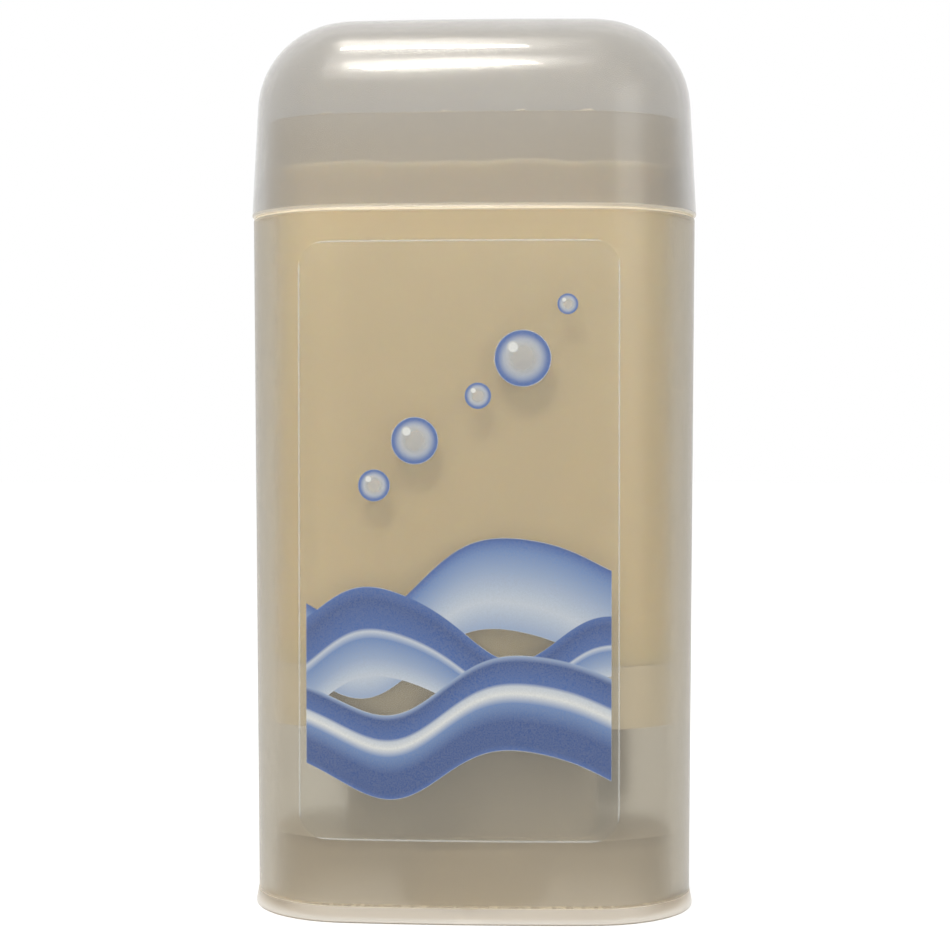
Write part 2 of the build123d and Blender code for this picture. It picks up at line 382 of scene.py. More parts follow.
class Graph:
    """A material's node tree, built by short calls."""

    def __init__(self, name: str) -> None:
        """Makes an empty material.

        Args:
            name: the material's name.
        """
        self.material = bpy.data.materials.new(name)
        self.material.use_nodes = True
        self.tree = self.material.node_tree
        self.tree.nodes.clear()
        self.end = self.tree.nodes.new("ShaderNodeOutputMaterial")

    def add(self, kind: str, **settings: object) -> bpy.types.Node:
        """Adds a node.

        Args:
            kind: the node's type name.
            settings: its properties.

        Returns:
            The node.
        """
        node = self.tree.nodes.new(kind)
        for key, value in settings.items():
            setattr(node, key, value)
        return node

    def feed(self, target: bpy.types.NodeSocket, value: object) -> None:
        """Sets a socket's value, or links a signal to it.

        Args:
            target: the input socket.
            value: a signal, a number, or a colour or vector.
        """
        if isinstance(value, Signal):
            self.tree.links.new(value.socket, target)
        elif isinstance(value, tuple) and target.type == "RGBA":
            target.default_value = (*value, 1.0)
        else:
            target.default_value = value

    def math(self, operation: str, *values: object) -> Signal:
        """One math node."""
        node = self.add("ShaderNodeMath", operation=operation)
        for target, value in zip(node.inputs, values):
            self.feed(target, value)
        return Signal(self, node.outputs[0])

    def shader(self, kind: str, **inputs: object) -> Signal:
        """A shader node with its inputs given by name, with underscores for spaces.

        Args:
            kind: the node's type name.
            inputs: the values of its inputs.

        Returns:
            Its shader output.
        """
        node = self.add(kind)
        for key, value in inputs.items():
            self.feed(node.inputs[key.replace("_", " ")], value)
        return Signal(self, node.outputs[0])

    def mix_shader(self, share: object, first: Signal, second: Signal) -> Signal:
        """Two shaders mixed, with share of the second."""
        node = self.add("ShaderNodeMixShader")
        self.feed(node.inputs[0], share)
        self.feed(node.inputs[1], first)
        self.feed(node.inputs[2], second)
        return Signal(self, node.outputs[0])

    def mix_colour(self, share: object, first: object, second: object) -> Signal:
        """Two colours mixed, with share of the second."""
        node = self.add("ShaderNodeMix", data_type="RGBA")
        self.feed(node.inputs["Factor"], share)
        self.feed(node.inputs[6], first)
        self.feed(node.inputs[7], second)
        return Signal(self, node.outputs[2])

    def ramp(self, value: Signal, stops: list[tuple[float, Colour]]) -> Signal:
        """A colour ramp.

        Args:
            value: where to read the ramp, 0 to 1.
            stops: each stop's place and colour.

        Returns:
            The ramp's colour.
        """
        node = self.add("ShaderNodeValToRGB")
        elements = node.color_ramp.elements
        for _ in stops[2:]:
            elements.new(0.5)
        for element, (place, colour) in zip(elements, stops):
            element.position = place
            element.color = (*colour, 1.0)
        self.feed(node.inputs[0], value)
        return Signal(self, node.outputs[0])

    def place(self) -> tuple[Signal, Signal, Signal]:
        """The piece's own coordinates, in millimetres."""
        split = self.add("ShaderNodeSeparateXYZ")
        self.feed(split.inputs[0], self.position())
        return tuple(Signal(self, output) * (1 / MM) for output in split.outputs)

    def position(self) -> Signal:
        """The piece's own coordinates as a vector, in metres."""
        return Signal(self, self.add("ShaderNodeTexCoord").outputs["Object"])

    def noise(self, size_mm: float, detail: float = 2.0, stretch: Colour = (1.0, 1.0, 1.0)) -> Signal:
        """Soft noise with grains of about a given size.

        Args:
            size_mm: the size of a grain.
            detail: how many finer layers there are.
            stretch: how much shorter a grain is along each axis.

        Returns:
            The noise, about 0.5 on average.
        """
        mapping = self.add("ShaderNodeMapping")
        self.feed(mapping.inputs["Vector"], self.position())
        mapping.inputs["Scale"].default_value = stretch
        node = self.add("ShaderNodeTexNoise")
        self.feed(node.inputs["Vector"], Signal(self, mapping.outputs[0]))
        node.inputs["Scale"].default_value = 1 / (size_mm * MM)
        node.inputs["Detail"].default_value = detail
        return Signal(self, node.outputs[0])

    def bump(self, height: Signal, depth_mm: float) -> Signal:
        """A bumped normal.

        Args:
            height: the height field, 0 to 1.
            depth_mm: the height of a full step.

        Returns:
            The normal.
        """
        node = self.add("ShaderNodeBump")
        node.inputs["Strength"].default_value = 1.0
        node.inputs["Distance"].default_value = depth_mm * MM
        self.feed(node.inputs["Height"], height)
        return Signal(self, node.outputs[0])

    def lamp_share(self, share: float) -> Signal:
        """A factor that is share for rays towards a lamp and 0 for the rest."""
        path = self.add("ShaderNodeLightPath")
        return Signal(self, path.outputs["Is Shadow Ray"]) * share

    def finish(self, surface: Signal, volume: Signal | None = None) -> bpy.types.Material:
        """Joins the shaders to the material's output.

        Args:
            surface: the surface shader.
            volume: the volume shader, if there is one.

        Returns:
            The finished material.
        """
        self.feed(self.end.inputs["Surface"], surface)
        if volume is not None:
            self.feed(self.end.inputs["Volume"], volume)
        return self.material


@dataclass(frozen=True)
class FrostedPlastic:
    """Frosted translucent polypropylene: a rough clear body with a milky bloom.

    Attributes:
        name: the material's name.
        clear: tint of what is seen through it.
        milk: colour of the bloom.
        bloom: share of the bloom, 0 clear to 1 opaque.
        glow: share of the bloom that passes light through instead of sending it back.
        blur: roughness of what is seen through it.
        polish: weight of the smooth skin over it.
        skin: roughness of that skin.
        lamp_pass: share of lamp light that reaches what is inside.
        depth_tint: what is left of white light after tint_depth of the plastic, or None.
        tint_depth: the thickness that depth_tint is given for.
        bands: lowest height, highest height and change of the bloom for each stretch that differs.
        painted_rim_highlights: height and depth of each moulded edge given a painted highlight.
        rim_highlight_tone: colour of those painted highlights.
        rim_highlight_share: how much milkier than the rest the painted highlights are.
    """

    name: str
    clear: Colour
    milk: Colour
    bloom: float
    glow: float = 0.4
    blur: float = 0.3
    polish: float = 0.5
    skin: float = 0.2
    lamp_pass: float = 0.97
    depth_tint: Colour | None = None
    tint_depth: float = 1.0
    bands: tuple[tuple[float, float, float], ...] = ()
    # Painted highlights: pale, milkier bands painted along moulded edges.
    painted_rim_highlights: tuple[tuple[float, float], ...] = ()
    rim_highlight_tone: Colour = srgb(236, 228, 212)
    rim_highlight_share: float = 0.3

    def make(self) -> bpy.types.Material:
        """Builds the node material."""
        graph = Graph(self.name)
        grain = graph.bump(graph.noise(0.3, 2.0), 0.0015)
        _, _, z = graph.place()
        # Painted highlight: the bloom turns paler in a band at each listed edge height.
        rim_highlight = z * 0.0
        for height, reach in self.painted_rim_highlights:
            rim_highlight = rim_highlight.larger((z - height).size().ease(reach, reach * 0.4))
        tone = graph.mix_colour(rim_highlight, self.milk, self.rim_highlight_tone)
        body = graph.shader(
            "ShaderNodeBsdfPrincipled",
            Base_Color=self.clear,
            Roughness=self.blur,
            IOR=1.46,
            Transmission_Weight=1.0,
            Coat_Weight=self.polish,
            Coat_Roughness=self.skin,
            Normal=grain,
        )
        front = graph.shader("ShaderNodeBsdfDiffuse", Color=tone, Normal=grain)
        through = graph.shader("ShaderNodeBsdfTranslucent", Color=tone, Normal=grain)
        milk = graph.mix_shader(self.glow, front, through)
        cloud = graph.noise(9.0, 2.0, (1.0, 1.0, 0.6)) * 0.1 + (self.bloom - 0.05)
        # The painted highlight also raises the bloom in those bands.
        cloud = cloud + rim_highlight * self.rim_highlight_share
        for low, high, change in self.bands:
            cloud = cloud + z.ease(low, low + 0.2) * z.ease(high, high - 0.2) * change
        surface = graph.mix_shader(cloud, body, milk)
        open_air = graph.shader("ShaderNodeBsdfTransparent", Color=(1.0, 1.0, 1.0))
        surface = graph.mix_shader(graph.lamp_share(self.lamp_pass), surface, open_air)
        return graph.finish(surface, self.body_tint(graph))

    def body_tint(self, graph: Graph) -> Signal | None:
        """The plastic's own colour in depth: extinction = -log(tint) / thickness.

        Args:
            graph: the material being built.

        Returns:
            The volume shader, or None where the tint is all on the surface.
        """
        if self.depth_tint is None:
            return None
        extinction = -np.log(np.array(self.depth_tint)) / (self.tint_depth * MM)
        density = float(extinction.max() * 1.05)
        colour = tuple(float(value) for value in 1 - extinction / density)
        return graph.shader("ShaderNodeVolumeAbsorption", Color=colour, Density=density)


@dataclass(frozen=True)
class CastGel:
    """Cloudy soap gel, painted paler towards the top as if lit from above, with a painted highlight along its
    top edge.

    Attributes:
        name: the material's name.
        body: its main colour.
        painted_top_light: colour of the painted highlight along the top edge, also blended in towards the top
            as painted light.
        top_z: height of the top.
        top_highlight_depth: how far the painted highlight reaches down from the top.
        lit_fade_depth: how far down the painted light from above makes the stick paler than its main colour.
    """

    name: str
    body: Colour
    painted_top_light: Colour
    top_z: float
    top_highlight_depth: float = 1.2
    lit_fade_depth: float = 45.0

    def make(self) -> bpy.types.Material:
        """Builds the node material."""
        graph = Graph(self.name)
        _, _, z = graph.place()
        cloud = graph.noise(7.0, 3.0, (1.0, 1.0, 0.5))
        tone = graph.mix_colour(cloud * 0.25, self.body, tuple(0.82 * value for value in self.body))
        # Painted light: the stick is painted paler towards the top, as if lit from above.
        tone = graph.mix_colour(z.ease(self.top_z - self.lit_fade_depth, self.top_z) * 0.6, tone, self.painted_top_light)
        # Painted highlight: a pale band with a ragged lower edge along the top edge.
        highlight_edge = z + graph.noise(1.6, 2.0) * 1.4 - 0.7
        tone = graph.mix_colour(highlight_edge.ease(self.top_z - self.top_highlight_depth, self.top_z), tone, self.painted_top_light)
        surface = graph.shader(
            "ShaderNodeBsdfPrincipled",
            Base_Color=tone,
            Roughness=0.42,
            IOR=1.45,
            Subsurface_Weight=0.6,
            Subsurface_Radius=(1.0, 0.8, 0.45),
            Subsurface_Scale=0.004,
            Normal=graph.bump(graph.noise(0.8, 3.0), 0.03),
        )
        return graph.finish(surface)


@dataclass(frozen=True)
class MilkyPlastic:
    """Natural polypropylene in a thicker, nearly opaque moulding.

    Attributes:
        name: the material's name.
        body: its colour.
        sheen_roughness: roughness of its surface.
    """

    name: str
    body: Colour
    sheen_roughness: float = 0.38

    def make(self) -> bpy.types.Material:
        """Builds the node material."""
        graph = Graph(self.name)
        cloud = graph.noise(5.0, 2.0)
        tone = graph.mix_colour(cloud * 0.3, self.body, tuple(0.88 * value for value in self.body))
        surface = graph.shader(
            "ShaderNodeBsdfPrincipled",
            Base_Color=tone,
            Roughness=self.sheen_roughness,
            IOR=1.49,
            Subsurface_Weight=0.35,
            Subsurface_Radius=(1.0, 0.95, 0.85),
            Subsurface_Scale=0.0012,
            Normal=graph.bump(graph.noise(0.3, 3.0), 0.006),
        )
        return graph.finish(surface)


@dataclass(frozen=True)
class Wave:
    """One printed wave band: height = base + swell * sine, measured across by its half-width.

    Attributes:
        base: height of its middle line above the label's centre.
        slope: rise of the middle line across the label, per millimetre.
        swell: amplitude of the middle line.
        length: wavelength of the middle line.
        phase: phase of the middle line, in turns.
        half_width: half of the band's width.
        taper: change of the half-width, per millimetre across.
        tones: the colours across the band.
    """

    base: float
    slope: float
    swell: float
    length: float
    phase: float
    half_width: float
    taper: float
    tones: list[tuple[float, Colour]]

    def across(self, graph: Graph, x: Signal, z: Signal) -> Signal:
        """Place across the band, from -1 at its lower edge to 1 at its upper edge."""
        angle = (x / self.length + self.phase) * (2 * np.pi)
        middle = angle.sine() * self.swell + x * self.slope + self.base
        second = (angle * 2.0 + 0.9).sine() * (self.swell * 0.14)
        width = (x * self.taper + self.half_width).larger(0.2)
        return (z - middle - second) / width


class InkTone(Enum):
    """The inks of the printed film."""

    DEEP = srgb(46, 74, 130)
    ROYAL = srgb(60, 92, 152)
    MID = srgb(96, 124, 170)
    SKY = srgb(136, 154, 182)
    PALE = srgb(178, 186, 196)
    WHITE = srgb(206, 208, 206)


def band_tones(order: list[tuple[float, InkTone]]) -> list[tuple[float, Colour]]:
    """Ramp stops from places and inks."""
    return [(place, tone.value) for place, tone in order]


@dataclass(frozen=True)
class PrintedFilm:
    """Film with waves and bubbles printed in graded blues.

    Attributes:
        name: the material's name.
        centre_x: middle of the film.
        centre_z: middle height of the film.
        width: width of the film.
        height: height of the film.
        backing: share of white backing behind the print, 0 for a clear film.
        waves: the wave bands, from the bottom of the pile to the top.
        bubbles: centre x, centre z and radius of each bubble.
        rules: centre x, height, half-length and half-thickness of each plain rule.
        print_margin: bare strip between the print and the film's edge.
        edge_line: width of the pale line along the film's edge.
    """

    name: str
    centre_x: float
    centre_z: float
    width: float
    height: float
    backing: float
    waves: tuple[Wave, ...]
    bubbles: tuple[tuple[float, float, float], ...] = ()
    rules: tuple[tuple[float, float, float, float], ...] = ()
    print_margin: float = 0.9
    edge_line: float = 0.12

    def make(self) -> bpy.types.Material:
        """Builds the node material."""
        graph = Graph(self.name)
        x, _, z = graph.place()
        x, z = x - self.centre_x, z - self.centre_z
        colour, cover = self.print_waves(graph, x, z)
        colour, cover = self.print_bubbles(graph, x, z, colour, cover)
        colour, cover = self.print_rules(graph, x, z, colour, cover)
        half_x, half_z = self.width / 2, self.height / 2
        inside = x.size().ease(half_x - self.print_margin + 0.05, half_x - self.print_margin - 0.05)
        inside = inside * z.size().ease(half_z - self.print_margin + 0.05, half_z - self.print_margin - 0.05)
        speckle = graph.noise(0.16, 1.0) * 0.24 + 0.8
        ink = cover * inside * speckle
        rim = (x.size() - half_x).larger(z.size() - half_z).ease(-self.edge_line * 2, -self.edge_line)
        white = InkTone.WHITE.value
        body = (rim * 0.3).larger(self.backing)
        tone = graph.mix_colour(ink, white, colour)
        solid = graph.shader(
            "ShaderNodeBsdfPrincipled",
            Base_Color=tone,
            Roughness=0.42,
            IOR=1.47,
            Specular_IOR_Level=0.35,
        )
        passing = graph.shader("ShaderNodeBsdfTransparent", Color=(0.985, 0.985, 0.98))
        return graph.finish(graph.mix_shader((ink * 0.9).larger(body), passing, solid))

    def print_waves(self, graph: Graph, x: Signal, z: Signal) -> tuple[Signal, Signal]:
        """Lays the wave bands over each other.

        Args:
            graph: the material being built.
            x: distance from the film's middle.
            z: height from the film's middle.

        Returns:
            The printed colour, and how much of the film it covers.
        """
        colour: object = InkTone.PALE.value
        cover = x * 0.0
        for wave in self.waves:
            across = wave.across(graph, x, z)
            tone = graph.ramp(across * 0.5 + 0.5, wave.tones)
            here = across.size().ease(1.03, 0.99)
            colour = graph.mix_colour(here, colour, tone)
            cover = cover.larger(here)
        return colour, cover

    def print_bubbles(
        self, graph: Graph, x: Signal, z: Signal, colour: Signal, cover: Signal
    ) -> tuple[Signal, Signal]:
        """Adds bubbles: a dark ring, a pale fill and a white glint.

        Args:
            graph: the material being built.
            x: distance from the film's middle.
            z: height from the film's middle.
            colour: the print so far.
            cover: its cover so far.

        Returns:
            The printed colour and cover with the bubbles added.
        """
        for centre_x, centre_z, radius in self.bubbles:
            dx, dz = x - centre_x, z - centre_z
            reach = graph.math("SQRT", dx * dx + dz * dz) / radius
            lit = (dx * 0.5 - dz) / radius * 0.35 + 0.5
            fill = graph.mix_colour(lit, InkTone.PALE.value, InkTone.SKY.value)
            tone = graph.mix_colour(reach.ease(0.55, 0.95), fill, InkTone.ROYAL.value)
            gx, gz = dx + radius * 0.35, dz - radius * 0.4
            glint = (graph.math("SQRT", gx * gx + gz * gz) / radius).ease(0.26, 0.14)
            tone = graph.mix_colour(glint, tone, InkTone.WHITE.value)
            here = reach.ease(1.05, 0.97)
            colour = graph.mix_colour(here, colour, tone)
            cover = cover.larger(here * (reach.ease(0.3, 0.95) * 0.6 + 0.4).larger(glint))
        return colour, cover

    def print_rules(
        self, graph: Graph, x: Signal, z: Signal, colour: Signal, cover: Signal
    ) -> tuple[Signal, Signal]:
        """Adds plain straight rules.

        Args:
            graph: the material being built.
            x: distance from the film's middle.
            z: height from the film's middle.
            colour: the print so far.
            cover: its cover so far.

        Returns:
            The printed colour and cover with the rules added.
        """
        for centre_x, height, half_length, half_thickness in self.rules:
            out_x = ((x - centre_x).size() - half_length).larger(0.0)
            out_z = z - height
            reach = graph.math("SQRT", out_x * out_x + out_z * out_z)
            here = reach.ease(half_thickness + 0.05, half_thickness - 0.05)
            colour = graph.mix_colour(here, colour, InkTone.ROYAL.value)
            cover = cover.larger(here)
        return colour, cover


# ------------------------------------------------------------------ pieces


@dataclass(frozen=True)
class PackForm:
    """The sizes that the pieces share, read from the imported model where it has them.

    Attributes:
        oval: the barrel's outline at its shoulder.
        shoulder_z: height of the shoulder.
        body_draft: slope of the barrel's wall, as inset for each millimetre down.
        cap_draft: slope of the cap and neck, as inset for each millimetre up.
        bore: inset of the bore.
        cap_wall: thickness of the cap.
        neck_clearance: gap between the cap and the neck.
        cap_proud: how far the cap's mouth stands out past the shoulder.
    """

    oval: Oval
    shoulder_z: float
    body_draft: float = float(np.tan(np.radians(0.42)))
    cap_draft: float = float(np.tan(np.radians(3.1)))
    bore: float = 2.35
    cap_wall: float = 1.05
    neck_clearance: float = 0.2
    cap_proud: float = 0.2

    @classmethod
    def read(cls, face_radius: float = 200.0, neck_height: float = 10.7) -> "PackForm":
        """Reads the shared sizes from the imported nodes.

        Args:
            face_radius: of the shallow faces.
            neck_height: from the shoulder to the neck's rim.

        Returns:
            The shared sizes.
        """
        barrel = Extent.of("barrel")
        width, depth = round(barrel.size[0], 1), round(barrel.size[1], 1)
        return cls(Oval(width, depth, face_radius), barrel.high[2] - neck_height)


@dataclass
class Shell:
    """The frosted outer pieces: cap and barrel.

    Attributes:
        form: the shared sizes.
        lip_round: round on the cap's lip.
        crown_radius: the large round along the cap's top edge.
        shoulder_round: round on the barrel's shoulder.
        rim_round: round on the neck's rim.
        burr: height of the largest burr on the neck's rim.
        skin_margin: how far the cap is kept inside its exact outline.
        cap_finish: the cap's plastic.
        barrel_finish: the barrel's plastic.
    """

    form: PackForm
    lip_round: float = 0.25
    crown_radius: float = 10.0
    shoulder_round: float = 0.35
    rim_round: float = 0.2
    burr: float = 0.3
    skin_margin: float = 0.01
    cap_finish: FrostedPlastic = field(
        default_factory=lambda: FrostedPlastic(
            "frosted_cap",
            clear=srgb(211, 209, 205),
            milk=srgb(196, 193, 188),
            bloom=0.13,
            blur=0.2,
            polish=0.9,
            skin=0.1,
            # Painted highlight along the cap's mouth.
            painted_rim_highlights=((Extent.of("cap").low[2], 0.45),),
        )
    )
    barrel_finish: FrostedPlastic = field(
        default_factory=lambda: FrostedPlastic(
            "frosted_barrel",
            clear=srgb(238, 236, 231),
            milk=srgb(222, 213, 196),
            bloom=0.15,
            blur=0.26,
            polish=0.3,
            skin=0.28,
            depth_tint=(0.87, 0.85, 0.8),
            tint_depth=2.35,
            bands=((Extent.of("cap").low[2], 200.0, 0.1),),
            # Painted highlights along the neck's rim and just below the cap's mouth.
            painted_rim_highlights=((Extent.of("barrel").high[2], 0.4), (Extent.of("cap").low[2] - 0.1, 0.3)),
            rim_highlight_share=0.75,
        )
    )

    def build_cap(self) -> bpy.types.Object:
        """Builds the cap: from the middle of its top, out over the crown, round the lip and back inside.

        Returns:
            The cap.
        """
        box = Extent.of("cap")
        mouth, top = box.low[2], box.high[2]
        oval = self.form.oval.inset(self.skin_margin - self.form.cap_proud)
        wall, slope, middle = self.form.cap_wall, self.form.cap_draft, oval.depth / 2
        inner_top = top - wall
        profile = rounded_path(
            [
                (middle, top),
                ((top - mouth) * slope, top),
                (0.0, mouth),
                (wall, mouth),
                (wall + (inner_top - mouth) * slope, inner_top),
                (middle, inner_top),
            ],
            [0, self.crown_radius, self.lip_round, self.lip_round, self.crown_radius - wall, 0],
        )
        points = oval.ring(32, 56).sweep(profile)
        piece = add_piece("cap_shell", points, grid_faces(*points.shape[:2]))
        return dress(piece, self.cap_finish.make(), "cap", "cap")

    def build_barrel(self) -> bpy.types.Object:
        """Builds the barrel: a closed wall profile carried round the oval, with burrs on the rim.

        Returns:
            The barrel.
        """
        box = Extent.of("barrel")
        form = self.form
        foot, rim, shoulder = box.low[2], box.high[2], form.shoulder_z
        neck_root = form.cap_wall + form.neck_clearance - form.cap_proud
        neck_rim = neck_root + (rim - shoulder) * form.cap_draft
        profile = rounded_path(
            [
                ((shoulder - foot) * form.body_draft, foot),
                (0.0, shoulder),
                (neck_root, shoulder),
                (neck_rim, rim),
                (form.bore, rim),
                (form.bore, foot),
            ],
            [0, self.shoulder_round, 0.15, self.rim_round, self.rim_round, 0],
            closed=True,
        )
        ring = form.oval.ring(60, 70)
        points = ring.sweep(profile)
        points[..., 2] -= self.burrs(points, rim)
        piece = add_piece("barrel_shell", points, grid_faces(*points.shape[:2], close_rows=True))
        return dress(piece, self.barrel_finish.make(), "barrel", "barrel")

    def burrs(self, points: Array, rim: float) -> Array:
        """How far the rim is lowered between its burrs: the CAD rim is the tip of the tallest one.

        Each burr is a bell curve of the angle round the pack, and the rest of the rim is lower by
        the burr's height.

        Args:
            points: the barrel's points.
            rim: height of the rim.

        Returns:
            The drop of each point.
        """
        angle = np.arctan2(points[..., 1], points[..., 0] * 0.5)
        places = np.radians([-97.0, -75.0, -58.0, -128.0, -20.0, 40.0, 88.0, 140.0, 200.0])
        heights = np.array([0.7, 1.0, 0.85, 0.5, 0.6, 0.9, 0.5, 0.8, 0.7])
        widths = np.radians([0.9, 0.6, 1.1, 0.7, 1.4, 0.8, 1.0, 0.6, 0.9])
        away = (angle[..., None] - places + np.pi) % (2 * np.pi) - np.pi
        raised = (heights * np.exp(-((away / widths) ** 2))).max(axis=-1)
        near_rim = np.clip((points[..., 2] - (rim - 0.5)) / 0.5, 0, 1)
        return self.burr * near_rim * (1 - raised)


@dataclass
class GelStick:
    """The cast stick and the bore that the screw leaves in it.

    Attributes:
        form: the shared sizes.
        clearance: gap between the stick and the bore of the barrel.
        top_round: round on the top edge.
        ripple: height of the waves in the cast top.
        bore_radius: radius of the hole round the screw.
        bore_tip_gap: room above the screw's tip.
    """

    form: PackForm
    clearance: float = 0.15
    top_round: float = 0.8
    ripple: float = 0.5
    bore_radius: float = 3.6
    bore_tip_gap: float = 0.6

    def build(self) -> bpy.types.Object:
        """Builds the stick from the end of its bore, out across its foot, up and over the top.

        Returns:
            The stick.
        """
        box, tip = Extent.of("deodorant_stick"), Extent.of("feed_screw").high[2]
        low, top = box.low[2], box.high[2]
        ring = self.form.oval.ring(40, 44)
        side, middle = self.form.bore + self.clearance, self.form.oval.depth / 2
        bore_top = tip + self.bore_tip_gap
        radius = np.array([0.0, self.bore_radius, self.bore_radius])
        bore = ring.circle(radius)
        heights = np.array([bore_top, bore_top, low])[:, None, None]
        bore = np.concatenate([bore, np.broadcast_to(heights, (*bore.shape[:2], 1))], axis=2)
        profile = rounded_path([(side, low), (side, top), (middle, top)], [0, self.top_round, 0])
        flat = np.linspace(0, 1, 14)[1:-1]
        start, end = profile[-2], profile[-1]
        profile = np.concatenate([profile[:-1], start + flat[:, None] * (end - start), profile[-1:]])
        outside = ring.sweep(profile)
        on_top = outside[..., 2] > top - 2 * self.top_round
        outside[..., 2] -= self.waves(outside[..., 0], outside[..., 1]) * on_top
        points = np.concatenate([bore, outside])
        piece = add_piece("gel_stick", points, grid_faces(*points.shape[:2]))
        # The second colour is painted light: the highlight along the top edge and the paling towards the top.
        body, painted_top_light = srgb(234, 217, 176), srgb(236, 227, 203)
        finish = CastGel("cloudy_gel", body=body, painted_top_light=painted_top_light, top_z=top)
        return dress(piece, finish.make(), "carriage", "deodorant_stick")

    def waves(self, x: Array, y: Array) -> Array:
        """Depth of the cast top below its highest point: three crossing sine waves.

        Args:
            x: distance across.
            y: distance back.

        Returns:
            The depth, from 0 to ripple.
        """
        swell = np.sin(x / 3.1 + y / 9 + 0.8) + 0.7 * np.sin(x / 1.55 - y / 6 + 2.1)
        swell = swell + 0.45 * np.sin(x / 0.8 + y / 3)
        return self.ripple * (0.5 - swell / 4.3)


@dataclass
class FeedScrew:
    """The spindle with its left-hand thread.

    Attributes:
        lead: rise of the thread for each turn.
        crest_radius: over the crests.
        root_radius: in the grooves.
        collar_radius: of the thrust collar.
        collar_height: of the thrust collar.
        foot_side: side of the square foot.
        foot_length: length of the square foot.
        run_out: length over which the thread fades at each end.
    """

    lead: float = 4.0
    crest_radius: float = 3.3
    root_radius: float = 2.3
    collar_radius: float = 4.7
    collar_height: float = 1.2
    foot_side: float = 4.0
    foot_length: float = 6.5
    run_out: float = 1.5
    tip_chamfer: float = 0.8

    def build(self) -> bpy.types.Object:
        """Builds the screw as one radius for each angle and height.

        Returns:
            The screw.
        """
        box, seat = Extent.of("feed_screw"), Extent.of("base").high[2]
        foot_z, tip_z = box.low[2], box.high[2]
        angle = np.linspace(0, 2 * np.pi, 72, endpoint=False)
        thread_z = np.arange(seat + self.collar_height, tip_z - self.tip_chamfer, self.lead / 20)
        thread_z = np.append(thread_z, tip_z - self.tip_chamfer)
        square = self.foot_side / 2 / np.maximum(np.abs(np.cos(angle)), np.abs(np.sin(angle)))
        blank = np.ones_like(angle)
        plain = [
            (foot_z, 0.0 * blank),
            (foot_z, square),
            (foot_z + self.foot_length, square),
            (foot_z + self.foot_length, self.crest_radius * blank),
            (seat, self.crest_radius * blank),
            (seat, self.collar_radius * blank),
            (seat + self.collar_height, self.collar_radius * blank),
        ]
        heights = np.concatenate([[z for z, _ in plain], thread_z, [tip_z, tip_z]])
        thread = self.thread_radius(angle[None], thread_z[:, None], thread_z[0], thread_z[-1])
        tip = self.root_radius - self.tip_chamfer / 2
        radii = np.concatenate([[r for _, r in plain], thread, [tip * blank, 0.0 * blank]])
        x, y = radii * np.cos(angle), radii * np.sin(angle)
        points = np.stack([x, y, np.broadcast_to(heights[:, None], x.shape)], axis=-1)
        piece = add_piece("screw_thread", points, grid_faces(*points.shape[:2]))
        finish = MilkyPlastic("spindle_plastic", srgb(224, 221, 212))
        return dress(piece, finish.make(), "dial", "feed_screw")

    def thread_radius(self, angle: Array, z: Array, start: float, end: float) -> Array:
        """Radius of the thread: a rounded trapezium wave of height plus angle.

        Args:
            angle: angle round the screw.
            z: height.
            start: height at which the thread begins.
            end: height at which it ends.

        Returns:
            The radius at each angle and height.
        """
        turn = z / self.lead + angle / (2 * np.pi)
        wave = np.clip(0.5 + 1.3 * np.cos(2 * np.pi * turn), 0, 1)
        wave = wave * wave * (3 - 2 * wave)
        fade = np.clip(np.minimum(z - start, end - z) / self.run_out, 0, 1)
        return self.root_radius + (self.crest_radius - self.root_radius) * wave * fade


@dataclass
class FilmLabel:
    """A film label that follows the drafted face of the barrel.

    Attributes:
        form: the shared sizes.
        node: the CAD node that it stands for.
        side: -1 on the front, 1 on the back.
        finish: its print.
        corner: radius of its corners.
        thickness: of the film.
        glue_gap: between the film and the barrel.
    """

    form: PackForm
    node: str
    side: int
    finish: PrintedFilm
    corner: float = 3.0
    thickness: float = 0.1
    glue_gap: float = 0.02

    def build(self) -> bpy.types.Object:
        """Builds the film: each row is a loop, out across the skin and back under it.

        The half-width of a row shrinks with the quarter circle of the corner near both ends, and
        the depth of a point is the oval's face at that x, with the draft of that height as inset.

        Returns:
            The label.
        """
        box = Extent.of(self.node)
        half, middle = box.size[0] / 2, box.middle[0]
        corner_rows = self.corner * (1 - np.cos(np.linspace(0, np.pi / 2, 12)))
        rows = np.append(corner_rows, box.size[2] / 2)
        rise = np.concatenate([rows, box.size[2] - rows[-2::-1]])
        z = box.low[2] + rise
        into = np.clip(self.corner - np.minimum(rise, box.size[2] - rise), 0, self.corner)
        row_half = half - self.corner + np.sqrt(self.corner**2 - into**2)
        across = np.sin(np.linspace(-np.pi / 2, np.pi / 2, 61))
        x = middle + row_half[:, None] * across[None]
        inset = ((self.form.shoulder_z - z) * self.form.body_draft)[:, None]
        skin = self.side * self.form.oval.face_y(x, inset - self.thickness)
        under = self.side * self.form.oval.face_y(x, inset - self.glue_gap)
        height = np.broadcast_to(z[:, None], x.shape)
        outer = np.stack([x, skin, height], axis=-1)
        inner = np.stack([x, under, height], axis=-1)[:, ::-1]
        points = np.concatenate([outer, inner], axis=1)
        count, columns = points.shape[:2]
        body = grid_faces(count, columns)
        step = np.arange(columns // 2 - 1)
        end = np.stack([step, step + 1, columns - 2 - step, columns - 1 - step], axis=1)
        quads = np.concatenate([body, end[:, ::-1], end + (count - 1) * columns])
        piece = add_piece(f"{self.node}_film", points, quads)
        return dress(piece, self.finish.make(), "barrel", self.node)


def dress(
    piece: bpy.types.Object, material: bpy.types.Material, body: str, node: str
) -> bpy.types.Object:
    """Gives a new piece its material and ties it to the frame.

    Args:
        piece: the new piece.
        material: its material.
        body: the CAD body that it moves with.
        node: the CAD node that it stands for.

    Returns:
        The piece.
    """
    piece.data.materials.clear()
    piece.data.materials.append(material)
    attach(piece, body)
    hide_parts(node)
    LOG.info("%s: %d faces on %s", piece.name, len(piece.data.polygons), body)
    return piece


